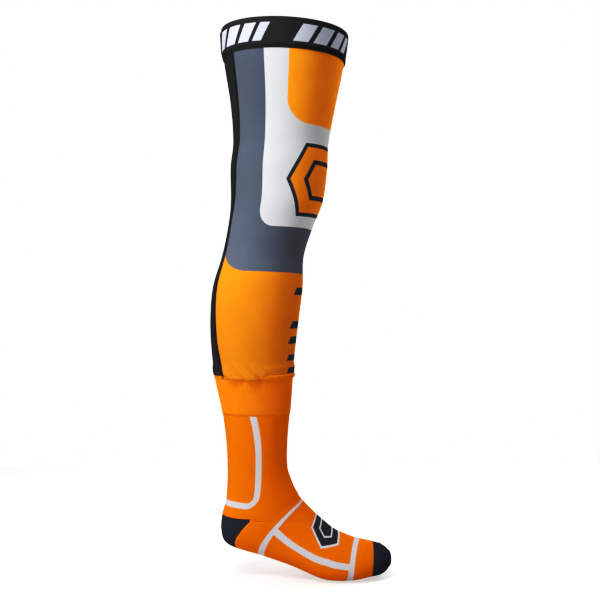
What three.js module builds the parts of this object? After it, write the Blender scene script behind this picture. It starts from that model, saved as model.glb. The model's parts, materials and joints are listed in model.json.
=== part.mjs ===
// A long sock to be worn under a knee brace: a cut and sewn stretch sleeve, from the thigh to the
// calf, sewn onto a knitted sock. It is shown filled out, as on a right leg with the heel raised.
// Units are millimetres, +Z is up, +X points to the toes and +Y to the wearer's left. The origin is
// the centre of the leg opening.
//
// Every piece of fabric follows one leg form. A place on it is given by how far down the leg it
// lies (s), by an angle round the leg (0 at the back and sole, 180 at the front and instep,
// positive on the outer side) and by its height off the form's surface (lift).

import * as THREE from 'three';

// ---- Lengths of the leg -----------------------------------------------------------------------
const THIGH_LENGTH = 216; // leg opening to knee axis
const SHANK_LENGTH = 441; // knee axis to ankle axis
const ANKLE_HEIGHT = 97; // ankle axis to the floor, with the heel raised
const FOOT_LENGTH = 238; // back of the heel to the tip of the toes, along the floor
const KNEE_SETBACK = 10; // knee axis behind the centre of the leg opening
const ANKLE_SETBACK = 41; // ankle axis behind the centre of the leg opening
const HEEL_BEHIND_ANKLE = 48;
const OPENING_SLOPE = 2.4; // degrees by which the leg opening drops to the front

// ---- Depths and widths of the filled leg --------------------------------------------------------
const OPENING_DEPTH = 176;
const KNEE_DEPTH = 133;
const CALF_DEPTH = 125;
const ANKLE_DEPTH = 84;
const OPENING_ROUNDNESS = 0.97; // width of a section over its depth
const KNEE_ROUNDNESS = 0.92;
const SIDE_FULLNESS = 0.9; // 1 is an ellipse, less is squarer
const ANKLE_ROUNDNESS = 0.8;
const BALL_WIDTH = 92;
const HEEL_WIDTH = 70;
const SOLE_SINK = 2.5; // how far the ball of the foot is pressed flat
const TOE_TIP_BULGE = 2;

// ---- Fabric ------------------------------------------------------------------------------------
const BAND_WALL = 2.2;
const PANEL_WALL = 1.2;
const KNIT_WALL = 1.8;
const CUSHION_WALL = 2.0;
const CUSHION_CLEARANCE = 1.2; // loops stand this far inside the knit, where it curves most
const GRIP_WALL = 0.8;
const CLEARANCE = 0.4; // between two pieces that touch
const THREAD_LIFT = 0.9;

// ---- Places down the sock ------------------------------------------------------------------------
const BAND_HEIGHT = 38;
const SLEEVE_BELOW_KNEE = 262; // knee axis to the lower edge of the sleeve
const HEM_HEIGHT = 9;
const HEM_THICKNESS = 1.4;
const JOIN_SEAM_HEIGHT = 5;
const CUFF_HEIGHT = 50;
const KNEE_REACH = 100; // the sleeve folds this far above and below the knee axis
const ANKLE_REACH = 55; // the knit folds from here above the ankle axis
const BALL_REACH = 15; // the knit folds this far either side of the toe joint

// ---- Widths round the sock ------------------------------------------------------------------------
const HEEL_HALF_ANGLE = 77; // where the heel pocket's two edges meet on each side
const POCKET_CORNER_HEIGHT = 3; // how far apart those edges stay there
const SOLE_HALF_ANGLE = 60; // reach of the cushioning loops under the foot
const HEEL_CUSHION_ANGLE = 48; // and at the heel
const SEAM_WIDTH = 5.5;
const GRIP_HEIGHT = 6;
const GRIP_INSET = 6; // gripper strips from the edges of the waistband
const BAND_LAP = 16; // overlap where the two ends of the waistband are sewn together
const LAP_INSET = 2;
const STITCHING_ON_BAND = 2.5; // the two thread rows reach this far up the waistband
const STITCHING_BELOW_BAND = 3.5; // and this far down the sleeve

const ROUND_STEPS = 30; // facets round the leg
const degrees = THREE.MathUtils.degToRad;
const mix = THREE.MathUtils.lerp;

// ---- The leg form -----------------------------------------------------------------------------------
// Each section is an oval given by its back and front points in the X-Z plane, half its width, how
// much of its width has moved down to the sole (low), and how far down the leg it is.

const knee = { x: -KNEE_SETBACK, z: -THIGH_LENGTH };
const ankle = { x: -ANKLE_SETBACK, z: -THIGH_LENGTH - SHANK_LENGTH };
const floor = ankle.z - ANKLE_HEIGHT;

// Sections along a bone from start to end: how far along it, the depth, and how far the section
// stands ahead of the bone.
function legSections(start, end, rows, roundness, slope) {
  return rows.map(([along, depth, ahead]) => {
    const x = mix(start.x, end.x, along) + ahead;
    const z = mix(start.z, end.z, along);
    const rise = Math.sin(degrees(slope * (1 - along))) * depth / 2;
    return {
      s: -z,
      back: [x - depth / 2, z + rise],
      front: [x + depth / 2, z - rise],
      half: depth * roundness(along) / 2,
      low: 0,
    };
  });
}

const thighSections = legSections({ x: 0, z: 0 }, knee, [
  [0, OPENING_DEPTH, 0],
  [0.17, mix(OPENING_DEPTH, KNEE_DEPTH, 0.18), 0.5],
  [0.46, mix(OPENING_DEPTH, KNEE_DEPTH, 0.7), 2],
  [0.7, KNEE_DEPTH, 1.5],
  [0.86, KNEE_DEPTH + 2, 0.5],
], (along) => mix(OPENING_ROUNDNESS, KNEE_ROUNDNESS, along), OPENING_SLOPE);

const shankSections = legSections(knee, ankle, [
  [0.04, KNEE_DEPTH - 5, 0],
  [0.115, mix(KNEE_DEPTH, CALF_DEPTH, 1.8), -6],
  [0.21, CALF_DEPTH - 11, -14],
  [0.305, CALF_DEPTH, -18],
  [0.4, CALF_DEPTH - 1, -19.5],
  [0.495, mix(CALF_DEPTH, ANKLE_DEPTH, 0.18), -18.5],
  [0.59, mix(CALF_DEPTH, ANKLE_DEPTH, 0.4), -15],
  [0.685, mix(CALF_DEPTH, ANKLE_DEPTH, 0.7), -9],
  [0.78, mix(CALF_DEPTH, ANKLE_DEPTH, 0.94), -5],
], (along) => mix(KNEE_ROUNDNESS, ANKLE_ROUNDNESS, along ** 3), 0);

// Sections of the foot fan out round the heel and run on to the toes. Each row gives where the
// section meets the heel or sole and where it meets the instep, along the foot and above the
// floor, then its width and its low share.
function footSections(rows) {
  const first = SHANK_LENGTH + THIGH_LENGTH - ANKLE_REACH;
  const heel = ankle.x - HEEL_BEHIND_ANKLE;
  let s = first;
  let last = null;
  return rows.map(([soleAt, soleUp, topAt, topUp, width, low]) => {
    const back = [heel + soleAt * FOOT_LENGTH, floor + soleUp * ANKLE_HEIGHT];
    const front = [heel + topAt * FOOT_LENGTH, floor + topUp * ANKLE_HEIGHT];
    const middle = new THREE.Vector2((back[0] + front[0]) / 2, (back[1] + front[1]) / 2);
    s += last ? middle.distanceTo(last) : 0;
    last = middle;
    return { s, back, front, half: width / 2, low };
  });
}

const sunk = -SOLE_SINK / ANKLE_HEIGHT;
const ANKLE_WIDTH = ANKLE_DEPTH * ANKLE_ROUNDNESS;
const ankleTop = 1 + ANKLE_REACH / ANKLE_HEIGHT;
const ankleSides = [HEEL_BEHIND_ANKLE - ANKLE_DEPTH / 2 + 3, HEEL_BEHIND_ANKLE + ANKLE_DEPTH / 2 + 3];
const foot = footSections([
  [ankleSides[0] / FOOT_LENGTH, ankleTop, ankleSides[1] / FOOT_LENGTH, ankleTop, ANKLE_WIDTH, 0],
  [0.03, 1.09, 0.42, 1.33, ANKLE_WIDTH, 0],
  [0.008, 0.888, 0.435, 1.248, mix(ANKLE_WIDTH, HEEL_WIDTH, 0.5), 0],
  [0, 0.686, 0.45, 1.184, HEEL_WIDTH, 0],
  [0.018, 0.505, 0.46, 1.133, HEEL_WIDTH, 0.05],
  [0.077, 0.41, 0.475, 1.09, HEEL_WIDTH, 0.1],
  [0.243, 0.293, 0.51, 0.996, HEEL_WIDTH + 2, 0.25],
  [0.414, 0.157, 0.562, 0.868, mix(HEEL_WIDTH, BALL_WIDTH, 0.4), 0.4],
  [0.562, 0.015, 0.65, 0.68, mix(HEEL_WIDTH, BALL_WIDTH, 0.9), 0.5],
  [0.633, sunk, 0.695, 0.612, BALL_WIDTH, 0.5],
  [0.769, sunk, 0.788, 0.522, mix(HEEL_WIDTH, BALL_WIDTH, 0.8), 0.5],
  [0.879, 0.012, 0.894, 0.465, BALL_WIDTH * 0.78, 0.4],
  [0.932, 0.032, 0.94, 0.432, BALL_WIDTH * 0.66, 0.3],
  [0.968, 0.075, 0.973, 0.387, BALL_WIDTH * 0.5, 0.2],
  [0.987, 0.13, 0.989, 0.345, BALL_WIDTH * 0.35, 0.1],
]);

const sections = [...thighSections, ...shankSections, ...foot];

// A smooth value between neighbouring sections, by Catmull-Rom.
function smooth(at, read) {
  let i = sections.findIndex((section) => section.s > at);
  i = i < 0 ? sections.length - 1 : Math.max(i, 1);
  const last = sections.length - 1;
  const near = [i - 2, i - 1, i, i + 1].map((n) => sections[THREE.MathUtils.clamp(n, 0, last)]);
  const [p0, p1, p2, p3] = near.map(read);
  const span = near[2].s - near[1].s;
  const t = (at - near[1].s) / span;
  const into = (p2 - p0) / Math.max(near[2].s - near[0].s, span) * span;
  const out = (p3 - p1) / Math.max(near[3].s - near[1].s, span) * span;
  return (2 * t ** 3 - 3 * t ** 2 + 1) * p1 + (t ** 3 - 2 * t ** 2 + t) * into
    + (3 * t ** 2 - 2 * t ** 3) * p2 + (t ** 3 - t ** 2) * out;
}

function section(s) {
  return {
    back: new THREE.Vector2(smooth(s, (n) => n.back[0]), smooth(s, (n) => n.back[1])),
    front: new THREE.Vector2(smooth(s, (n) => n.front[0]), smooth(s, (n) => n.front[1])),
    half: smooth(s, (n) => n.half),
    low: smooth(s, (n) => n.low),
  };
}

// A place on the form itself: part of the way across the section, and out to the side.
function onForm(s, angle) {
  const { back, front, half, low } = section(s);
  const along = (1 - Math.cos(degrees(angle))) / 2;
  const across = along * (1 - low * (1 - along));
  const sine = Math.sin(degrees(angle));
  const side = -half * Math.sign(sine) * Math.abs(sine) ** SIDE_FULLNESS;
  return new THREE.Vector3(mix(back.x, front.x, across), side, mix(back.y, front.y, across));
}

// A point of the sock, square off the form, with the ball of the foot pressed flat on the floor.
function legPoint(s, angle, lift) {
  const small = 0.5;
  const down = onForm(s + small, angle).sub(onForm(s - small, angle));
  const round = onForm(s, angle + small).sub(onForm(s, angle - small));
  const point = onForm(s, angle).addScaledVector(down.cross(round).normalize(), lift);
  point.z = Math.max(point.z, floor - Math.min(lift, 0));
  return point;
}

// ---- Building fabric ------------------------------------------------------------------------------------

// A closed mesh from rows of outer and inner points. Rows that run right round are joined up.
function meshFromRows(outer, inner, closed) {
  const columns = outer[0].length;
  const positions = [...outer.flat(), ...inner.flat()].flatMap((p) => [p.x, p.y, p.z]);
  const innerStart = outer.length * columns;
  const index = [];
  const quad = (a, b, c, d) => index.push(a, b, c, a, c, d);
  const across = closed ? columns : columns - 1;
  const at = (row, column) => row * columns + column % columns;
  for (let row = 0; row + 1 < outer.length; row += 1) {
    for (let column = 0; column < across; column += 1) {
      const corners = [at(row, column), at(row + 1, column), at(row + 1, column + 1), at(row, column + 1)];
      quad(...corners);
      quad(...corners.map((n) => n + innerStart).reverse());
    }
  }
  const lastRow = outer.length - 1;
  for (let column = 0; column < across; column += 1) {
    quad(at(0, column), at(0, column + 1), at(0, column + 1) + innerStart, at(0, column) + innerStart);
    quad(at(lastRow, column + 1), at(lastRow, column),
      at(lastRow, column) + innerStart, at(lastRow, column + 1) + innerStart);
  }
  for (let row = 0; !closed && row < lastRow; row += 1) {
    quad(at(row + 1, 0), at(row, 0), at(row, 0) + innerStart, at(row + 1, 0) + innerStart);
    quad(at(row, columns - 1), at(row + 1, columns - 1),
      at(row + 1, columns - 1) + innerStart, at(row, columns - 1) + innerStart);
  }
  const geometry = new THREE.BufferGeometry();
  geometry.setAttribute('position', new THREE.Float32BufferAttribute(positions, 3));
  geometry.setIndex(index);
  geometry.computeVertexNormals();
  return geometry;
}

const asFunction = (value) => (typeof value === 'function' ? value : () => value);

// Fabric from one level down to another. Its ends may depend on the angle, and its sides on the
// level. With no sides it runs right round the leg.
function fabric({ from, to, sides = null, wall, lift = 0, rows, columns = ROUND_STEPS }) {
  const [start, end] = [from, to].map(asFunction);
  const [left, right] = (sides ?? [-180, 180]).map(asFunction);
  const count = sides ? columns + 1 : columns;
  const grid = (height) => Array.from({ length: rows + 1 }, (_, row) => (
    Array.from({ length: count }, (_, column) => {
      const share = column / columns;
      const rough = mix(left(start(0)), right(start(0)), share);
      const s = mix(start(rough), end(rough), row / rows);
      return legPoint(s, mix(left(s), right(s), share), height);
    })
  ));
  return meshFromRows(grid(lift), grid(lift - wall), !sides);
}

// A pocket that closes over the tip of the toes.
function closedToe(from, wall) {
  const tip = sections.at(-1).s;
  const rows = 5;
  const grid = (height, end) => Array.from({ length: rows + 1 }, (_, row) => (
    Array.from({ length: ROUND_STEPS }, (_, column) => (
      legPoint(mix(from, end, row / rows), column * 360 / ROUND_STEPS - 180, height)
    ))
  ));
  const outer = grid(0, tip);
  const inner = grid(-wall, tip - 2 * wall);
  const geometry = meshFromRows(outer, inner, true);
  const positions = Array.from(geometry.getAttribute('position').array);
  const columns = ROUND_STEPS;
  const lastRow = rows * columns;
  const innerStart = (rows + 1) * columns;
  // The wall that joined the two last rows gives way to a cap over each of them.
  const joined = new Set([lastRow, innerStart + lastRow].flatMap((first) => (
    Array.from({ length: columns }, (_, n) => first + n)
  )));
  const index = [];
  const old = geometry.getIndex().array;
  for (let n = 0; n < old.length; n += 3) {
    const corners = [old[n], old[n + 1], old[n + 2]];
    if (!corners.every((corner) => joined.has(corner))) index.push(...corners);
  }
  [[outer, 0, 1], [inner, innerStart, -1]].forEach(([points, first, facing]) => {
    const middle = points.at(-1).reduce((sum, p) => sum.add(p), new THREE.Vector3()).divideScalar(columns);
    const apex = positions.length / 3;
    positions.push(middle.x + TOE_TIP_BULGE, middle.y, middle.z);
    for (let column = 0; column < columns; column += 1) {
      const pair = [first + lastRow + column, first + lastRow + (column + 1) % columns];
      if (facing < 0) pair.reverse();
      index.push(pair[0], apex, pair[1]);
    }
  });
  const closed = new THREE.BufferGeometry();
  closed.setAttribute('position', new THREE.Float32BufferAttribute(positions, 3));
  closed.setIndex(index);
  closed.computeVertexNormals();
  return closed;
}

// A round ridge of thread laid along points on the form.
function ridge(points, radius) {
  const path = new THREE.CatmullRomCurve3(points);
  const outline = new THREE.Shape();
  outline.absarc(0, 0, radius, 0, 2 * Math.PI);
  return new THREE.ExtrudeGeometry(outline, {
    extrudePath: path, steps: 20, curveSegments: 3, bevelEnabled: false,
  });
}

// ---- Levels down the sock -------------------------------------------------------------------------------

const touch = CLEARANCE / 2; // each of two neighbours stops this far from the line between them
const kneeTop = THIGH_LENGTH - KNEE_REACH;
const kneeEnd = THIGH_LENGTH + KNEE_REACH;
const sleeveLength = THIGH_LENGTH + SLEEVE_BELOW_KNEE;
const sleeveEnd = sleeveLength - HEM_HEIGHT;
const cuffEnd = sleeveLength + CUFF_HEIGHT;
const ankleStart = foot[0].s;
const [, , pocketTop, pocketCorner, , instep, midfoot] = foot.map((place) => place.s);
const toeJoint = foot[9];
const ballStart = toeJoint.s - BALL_REACH;
const ballEnd = toeJoint.s + BALL_REACH;
const capStart = foot[11].s;

// The line where the knit above the heel stops: down the heel pocket's upper edge on each side,
// then forward and up to the instep.
function heelLine(angle) {
  const turn = Math.abs(angle > 180 ? angle - 360 : angle);
  const down = mix(pocketTop, pocketCorner, Math.min(turn / HEEL_HALF_ANGLE, 1) ** 2);
  const forward = Math.max(turn - HEEL_HALF_ANGLE, 0) / (180 - HEEL_HALF_ANGLE);
  return mix(down, instep, forward);
}

// The heel pocket's lower edge runs back up to nearly the same corner.
function pocketEnd(angle) {
  const turn = Math.abs(angle) / HEEL_HALF_ANGLE;
  const lowest = mix(instep, midfoot, 0.35);
  return mix(lowest, pocketCorner + POCKET_CORNER_HEIGHT, Math.min(turn, 1));
}

// Half the back panel's reach round the leg, in degrees, at shares of the way down the sleeve.
const BACK_PANEL_REACH = [
  [0, 38], [0.28, 34.5], [0.43, 31.5], [0.55, 24.5], [0.78, 31.5], [0.9, 37], [1, 47],
];
function backReach(s) {
  const share = Math.min(s / sleeveLength, 1);
  const next = Math.max(BACK_PANEL_REACH.findIndex(([level]) => level >= share), 1);
  const [[shareA, reachA], [shareB, reachB]] = [BACK_PANEL_REACH[next - 1], BACK_PANEL_REACH[next]];
  return mix(reachA, reachB, (share - shareA) / (shareB - shareA));
}

// The angle that a width of fabric takes up at the side of the leg.
const angleOf = (width, s) => THREE.MathUtils.radToDeg(width / section(s).half);

// ---- Pieces ------------------------------------------------------------------------------------

const sock = new THREE.Group();

const yarns = {
  elastic: { color: '#17171a', roughness: 0.85 },
  silicone: { color: '#c9c9c6', roughness: 0.4 },
  blackMesh: { color: '#1d1d20', roughness: 0.8 },
  print: { color: '#e8862a', roughness: 0.6 },
  orangeThread: { color: '#e07414', roughness: 0.7 },
  darkThread: { color: '#26262a', roughness: 0.7 },
  orangeKnit: { color: '#e06c10', roughness: 0.9 },
  navyKnit: { color: '#1d2430', roughness: 0.9 },
  whiteLoops: { color: '#d9d8d6', roughness: 1 },
};

function add(name, yarn, geometry) {
  const material = new THREE.MeshStandardMaterial({ ...yarns[yarn], metalness: 0 });
  const mesh = new THREE.Mesh(geometry, material);
  mesh.name = name;
  sock.add(mesh);
}

function addWaistband() {
  add('waistband', 'elastic', fabric({ from: 0, to: BAND_HEIGHT - touch, wall: BAND_WALL, rows: 3 }));
  const lapReach = angleOf(BAND_LAP / 2, 0);
  add('waistband_lap', 'elastic', fabric({
    from: LAP_INSET, to: BAND_HEIGHT - STITCHING_ON_BAND - LAP_INSET,
    sides: [-lapReach, lapReach], columns: 2, rows: 2,
    lift: CLEARANCE + BAND_WALL, wall: BAND_WALL,
  }));
  add('waist_stitching', 'darkThread', fabric({
    from: BAND_HEIGHT - STITCHING_ON_BAND, to: BAND_HEIGHT + STITCHING_BELOW_BAND, rows: 1,
    lift: THREAD_LIFT, wall: THREAD_LIFT - CLEARANCE,
  }));
  const grips = { grip_strip_upper: GRIP_INSET, grip_strip_lower: BAND_HEIGHT - GRIP_INSET - GRIP_HEIGHT };
  Object.entries(grips).forEach(([name, level]) => {
    add(name, 'silicone', fabric({
      from: level, to: level + GRIP_HEIGHT, rows: 1, lift: -BAND_WALL - CLEARANCE, wall: GRIP_WALL,
    }));
  });
}

// The sleeve is a front panel and a back panel, joined by a seam down each side. Both panels and
// both seams are one length of fabric each; here each is three solids, because it folds at the knee.
function addSleeve() {
  const parts = [
    { place: 'thigh', front: 'thigh', from: BAND_HEIGHT, to: kneeTop, rows: 4 },
    { place: 'knee', front: 'knee', from: kneeTop, to: kneeEnd, rows: 7 },
    { place: 'calf', front: 'shin', from: kneeEnd, to: sleeveEnd, rows: 6 },
  ];
  parts.forEach(({ place, front, from, to, rows }) => {
    const ends = { from: from + touch, to: to - touch, rows };
    const frontEdge = (s) => backReach(s) + angleOf(touch, s);
    const backEdge = (s) => backReach(s) - angleOf(touch, s);
    add(`front_panel_${front}`, 'print', fabric({
      ...ends, sides: [frontEdge, (s) => 360 - frontEdge(s)], columns: 24, wall: PANEL_WALL,
    }));
    add(`back_panel_${place}`, 'blackMesh', fabric({
      ...ends, sides: [(s) => -backEdge(s), backEdge], columns: 6, wall: PANEL_WALL,
    }));
    const seamStart = BAND_HEIGHT + STITCHING_BELOW_BAND + CLEARANCE;
    const seamEnds = { ...ends, from: Math.max(ends.from, seamStart), columns: 1 };
    [['outer', 1], ['inner', -1]].forEach(([side, sign]) => {
      const low = (s) => sign * backReach(s) - angleOf(SEAM_WIDTH / 2, s);
      const high = (s) => sign * backReach(s) + angleOf(SEAM_WIDTH / 2, s);
      add(`${side}_seam_${place}`, 'darkThread', fabric({
        ...seamEnds, sides: [low, high], lift: THREAD_LIFT, wall: THREAD_LIFT - CLEARANCE,
      }));
    });
  });
}

// The sleeve's gathered lower edge is rolled over the top of the cuff and overlocked to it.
function addCalfJoin() {
  add('sleeve_hem', 'print', fabric({
    from: sleeveEnd + touch, to: sleeveLength, rows: 2,
    lift: CLEARANCE + HEM_THICKNESS, wall: HEM_THICKNESS,
  }));
  add('calf_join_seam', 'orangeThread', fabric({
    from: sleeveLength - JOIN_SEAM_HEIGHT, to: sleeveLength, rows: 1,
    lift: -KNIT_WALL - CLEARANCE, wall: THREAD_LIFT,
  }));
  add('rib_cuff', 'orangeKnit', fabric({
    from: sleeveEnd + touch, to: cuffEnd - touch, wall: KNIT_WALL, rows: 3,
  }));
}

// The knitted sock: straight leg, the part that folds at the ankle, and the heel pocket.
function addLegAndHeel() {
  add('leg_knit', 'orangeKnit', fabric({
    from: cuffEnd + touch, to: ankleStart - touch, wall: KNIT_WALL, rows: 3,
  }));
  add('ankle_knit', 'orangeKnit', fabric({
    from: ankleStart + touch, to: (angle) => heelLine(angle) - touch, wall: KNIT_WALL, rows: 5,
  }));
  const pocketReach = HEEL_HALF_ANGLE - CLEARANCE;
  add('heel_pocket', 'navyKnit', fabric({
    from: (angle) => heelLine(angle) + touch, to: (angle) => pocketEnd(angle) - touch,
    sides: [-pocketReach, pocketReach], columns: 12, wall: KNIT_WALL, rows: 8,
  }));
}

function footStart(angle) {
  const turn = Math.abs(angle);
  return turn > HEEL_HALF_ANGLE ? heelLine(angle) + touch : pocketEnd(angle) + touch;
}

// From the heel to the toes, with the part that folds at the toe joint.
function addFoot() {
  add('foot_knit', 'orangeKnit', fabric({
    from: footStart, to: ballStart - touch, wall: KNIT_WALL, rows: 6,
  }));
  add('ball_knit', 'orangeKnit', fabric({
    from: ballStart + touch, to: ballEnd - touch, wall: KNIT_WALL, rows: 3,
  }));
  add('toe_knit', 'orangeKnit', fabric({
    from: ballEnd + touch, to: capStart - touch, wall: KNIT_WALL, rows: 3,
  }));
  add('toe_cap', 'navyKnit', closedToe(capStart + touch, KNIT_WALL));
  const seamRadius = 1.1;
  const seamPoints = [100, 125, 150, 180, 210, 235, 260].map((angle) => {
    const s = mix(capStart, sections.at(-1).s, 0.32 + 0.16 * Math.cos(degrees(angle - 180)));
    return legPoint(s, angle, seamRadius + CLEARANCE);
  });
  add('toe_seam', 'navyKnit', ridge(seamPoints, seamRadius));
}

// Terry loops line the heel, the sole and the toes.
function addCushions() {
  const insideKnit = { lift: -KNIT_WALL - CUSHION_CLEARANCE, wall: CUSHION_WALL };
  const sides = [-SOLE_HALF_ANGLE, SOLE_HALF_ANGLE];
  const margin = 2;
  add('heel_cushion', 'whiteLoops', fabric({
    ...insideKnit, sides: [-HEEL_CUSHION_ANGLE, HEEL_CUSHION_ANGLE], columns: 8, rows: 5,
    from: (angle) => heelLine(angle) + margin, to: (angle) => pocketEnd(angle) - margin,
  }));
  add('sole_cushion', 'whiteLoops', fabric({
    ...insideKnit, sides, columns: 10, rows: 4,
    from: (angle) => pocketEnd(angle) + margin, to: ballStart - margin,
  }));
  add('toe_cushion', 'whiteLoops', fabric({
    ...insideKnit, sides, columns: 10, rows: 2, from: ballEnd + margin, to: capStart - margin,
  }));
}

addWaistband();
addSleeve();
addCalfJoin();
addLegAndHeel();
addFoot();
addCushions();

export default sock;
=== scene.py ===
"""Looks of a long sock for wear under a knee brace: a printed stretch sleeve on a knitted sock.

Every piece of fabric is laid on one leg form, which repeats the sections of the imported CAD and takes
its lengths from the frame. A place on the form is given by how far down the leg it lies (s), by an
angle round the leg (0 at the back and sole, 180 at the front and instep, positive on the outer side)
and by its height off the form (lift). Units are metres and degrees.
"""

import functools
import json
import math

import bpy
import numpy as np
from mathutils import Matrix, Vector


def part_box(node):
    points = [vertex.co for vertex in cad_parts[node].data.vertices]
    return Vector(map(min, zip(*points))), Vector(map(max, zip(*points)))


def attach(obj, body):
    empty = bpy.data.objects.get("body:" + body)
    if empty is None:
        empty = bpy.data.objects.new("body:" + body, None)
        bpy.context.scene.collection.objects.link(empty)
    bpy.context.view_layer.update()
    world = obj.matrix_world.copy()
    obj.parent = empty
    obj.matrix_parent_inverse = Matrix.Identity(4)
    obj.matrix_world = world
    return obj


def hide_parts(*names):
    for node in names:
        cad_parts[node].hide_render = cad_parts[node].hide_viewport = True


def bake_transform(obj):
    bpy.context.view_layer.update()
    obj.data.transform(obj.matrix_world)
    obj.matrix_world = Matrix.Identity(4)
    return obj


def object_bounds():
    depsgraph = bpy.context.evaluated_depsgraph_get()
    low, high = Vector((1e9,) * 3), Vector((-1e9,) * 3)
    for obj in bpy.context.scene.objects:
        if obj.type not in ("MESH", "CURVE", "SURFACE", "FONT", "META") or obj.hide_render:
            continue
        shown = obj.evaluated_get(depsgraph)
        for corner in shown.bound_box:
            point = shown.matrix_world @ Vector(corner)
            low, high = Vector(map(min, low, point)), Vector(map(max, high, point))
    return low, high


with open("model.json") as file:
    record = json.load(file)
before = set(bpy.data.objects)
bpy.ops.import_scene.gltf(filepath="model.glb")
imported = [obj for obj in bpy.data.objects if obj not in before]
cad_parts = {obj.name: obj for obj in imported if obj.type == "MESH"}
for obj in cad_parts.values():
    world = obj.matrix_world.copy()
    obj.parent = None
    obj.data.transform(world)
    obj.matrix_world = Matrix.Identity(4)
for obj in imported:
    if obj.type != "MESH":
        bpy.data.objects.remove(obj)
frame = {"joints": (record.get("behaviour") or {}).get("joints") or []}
CAD_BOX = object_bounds()

# ---- Sizes read from the frame -------------------------------------------------------------------

JOINTS = {joint["name"]: np.array(joint["pos_m"]) for joint in frame["joints"]}
knee, ankle, toe_joint = (JOINTS[name] for name in ("knee_bend", "ankle_flex", "toe_flex"))
FLOOR = CAD_BOX[0].z
HEEL_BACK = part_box("heel_pocket")[0].x
FOOT_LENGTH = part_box("toe_cap")[1].x - HEEL_BACK
OPENING_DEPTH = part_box("waistband")[1].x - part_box("waistband")[0].x
THIGH_LENGTH = -knee[2]
ANKLE_HEIGHT = ankle[2] - FLOOR

# ---- Depths and widths of the filled leg, as in the CAD ------------------------------------------

KNEE_DEPTH = 0.133
CALF_DEPTH = 0.125
ANKLE_DEPTH = 0.084
OPENING_ROUNDNESS = 0.97
KNEE_ROUNDNESS = 0.92
ANKLE_ROUNDNESS = 0.8
SIDE_FULLNESS = 0.9
OPENING_SLOPE = math.radians(2.4)
ANKLE_WIDTH = ANKLE_DEPTH * ANKLE_ROUNDNESS
HEEL_WIDTH = 0.070
BALL_WIDTH = 0.092
SOLE_SINK = 0.0025
ANKLE_REACH = 0.055  # the first section of the foot is this far above the ankle axis

# ---- Fabric and places down the sock -------------------------------------------------------------

BAND_WALL = 0.0022
PANEL_WALL = 0.0012
KNIT_WALL = 0.0018
TERRY_WALL = 0.0026
BAND_HEIGHT = 0.038
BAND_OVERLAP = 0.0015  # the waistband reaches this far down over the sleeve
BAND_LIFT = 0.0012  # its outer face stands this far off the form
LAP_HALF_WIDTH = 0.008
TACK_INSET = 0.0018  # from the lap's edge to its bar tack
GRIP_LEVELS = (("grip_strip_upper", 0.009), ("grip_strip_lower", 0.029))
GRIP_HALF_HEIGHT = 0.0012
SLEEVE_BELOW_KNEE = 0.262
SLEEVE_END = THIGH_LENGTH + SLEEVE_BELOW_KNEE
HEM_HEIGHT = 0.009
CUFF_HEIGHT = 0.050
CUFF_END = SLEEVE_END + CUFF_HEIGHT
ANKLE_FOLD = (ankle[2] + 0.045, ankle[2] - 0.012)  # the knit folds between these heights
TOE_REACH = 0.020  # the knit folds this far either side of the toe joint
HEEL_HALF_ANGLE = 77  # where the heel pocket's two edges meet on each side
SEAM_WIDTH = 0.0048
THREAD = 0.00028  # radius of the sewing thread
TOE_TIP_BULGE = 0.0035  # how far the end of the toe cap is rounded out past its last section
CUSHION_INSET = 0.002

# Half the back panel's reach round the leg, in degrees, at shares of the way down the sleeve.
BACK_PANEL_REACH = [[0, 38], [0.28, 34.5], [0.43, 31.5], [0.55, 24.5], [0.78, 31.5], [0.9, 37], [1, 47]]

# ---- Gathers above the sleeve's hem --------------------------------------------------------------

GATHER_HEIGHT = 0.024  # the gathers die out this far above the hem
PUFF = 0.0060  # how far the gathered cloth stands off above the hem
FOLD_DEPTH = 0.0055
BROAD_FOLD = 0.0083  # a fold is about three times this wide
FINE_FOLD = 0.0037
HEM_LIFT = 0.0017  # room for the hem under the panels

# ---- Camera and light ----------------------------------------------------------------------------

CAMERA_LENS = 52.8
CAMERA_DISTANCE = 1.232
CAMERA_BEHIND = 0.0009
CAMERA_ABOVE = 0.0051
AMBIENT = 0.11  # light that the white surround throws on the sock
FLOOR_BOUNCE = 0.12  # light that the floor throws on the sock
FLOOR_GLOW = 0.5  # light that the camera sees in the floor
FLOOR_HALF = 0.8

# Each lamp: its name, its place and aim from the middle of the sock, its size and its power.
LAMPS = (
    ("key", (-0.55, -0.8, 1.1), (0, 0, 0), (0.5, 0.5), 17),
    ("side", (-1.15, -0.65, 0.2), (0, 0, 0), (0.5, 0.5), 8),
    ("fill", (-0.2, -1.3, -0.35), (0, 0, -0.15), (0.4, 0.4), 3.8),
    ("right", (0.8, 0.42, 0.45), (0, 0, 0.3), (0.25, 0.5), 4.5),
    ("rim", (0.4, 1.3, 0.1), (0, 0, -0.05), (0.3, 1.0), 13),
    ("top", (0, -0.1, 3.0), (0, 0, 0), (0.8, 0.8), 42),
)
TONE_POINTS = ((0.033, 0.0126), (0.133, 0.057), (0.274, 0.214), (0.57, 0.587))


def mix(a, b, share):
    return a + (b - a) * share


# ---- The leg form --------------------------------------------------------------------------------
# A section is [s, back x, back z, front x, front z, half width, low]. Low is the share of its width
# that has moved down to the sole.


def leg_sections(start, end, rows, roundness, slope):
    """Sections along a bone: how far along it, the depth, and how far it stands ahead of the bone."""
    made = []
    for along, depth, ahead in rows:
        x = mix(start[0], end[0], along) + ahead
        z = mix(start[2], end[2], along)
        rise = math.sin(slope * (1 - along)) * depth / 2
        half = depth * roundness(along) / 2
        made.append([-z, x - depth / 2, z + rise, x + depth / 2, z - rise, half, 0])
    return made


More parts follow.
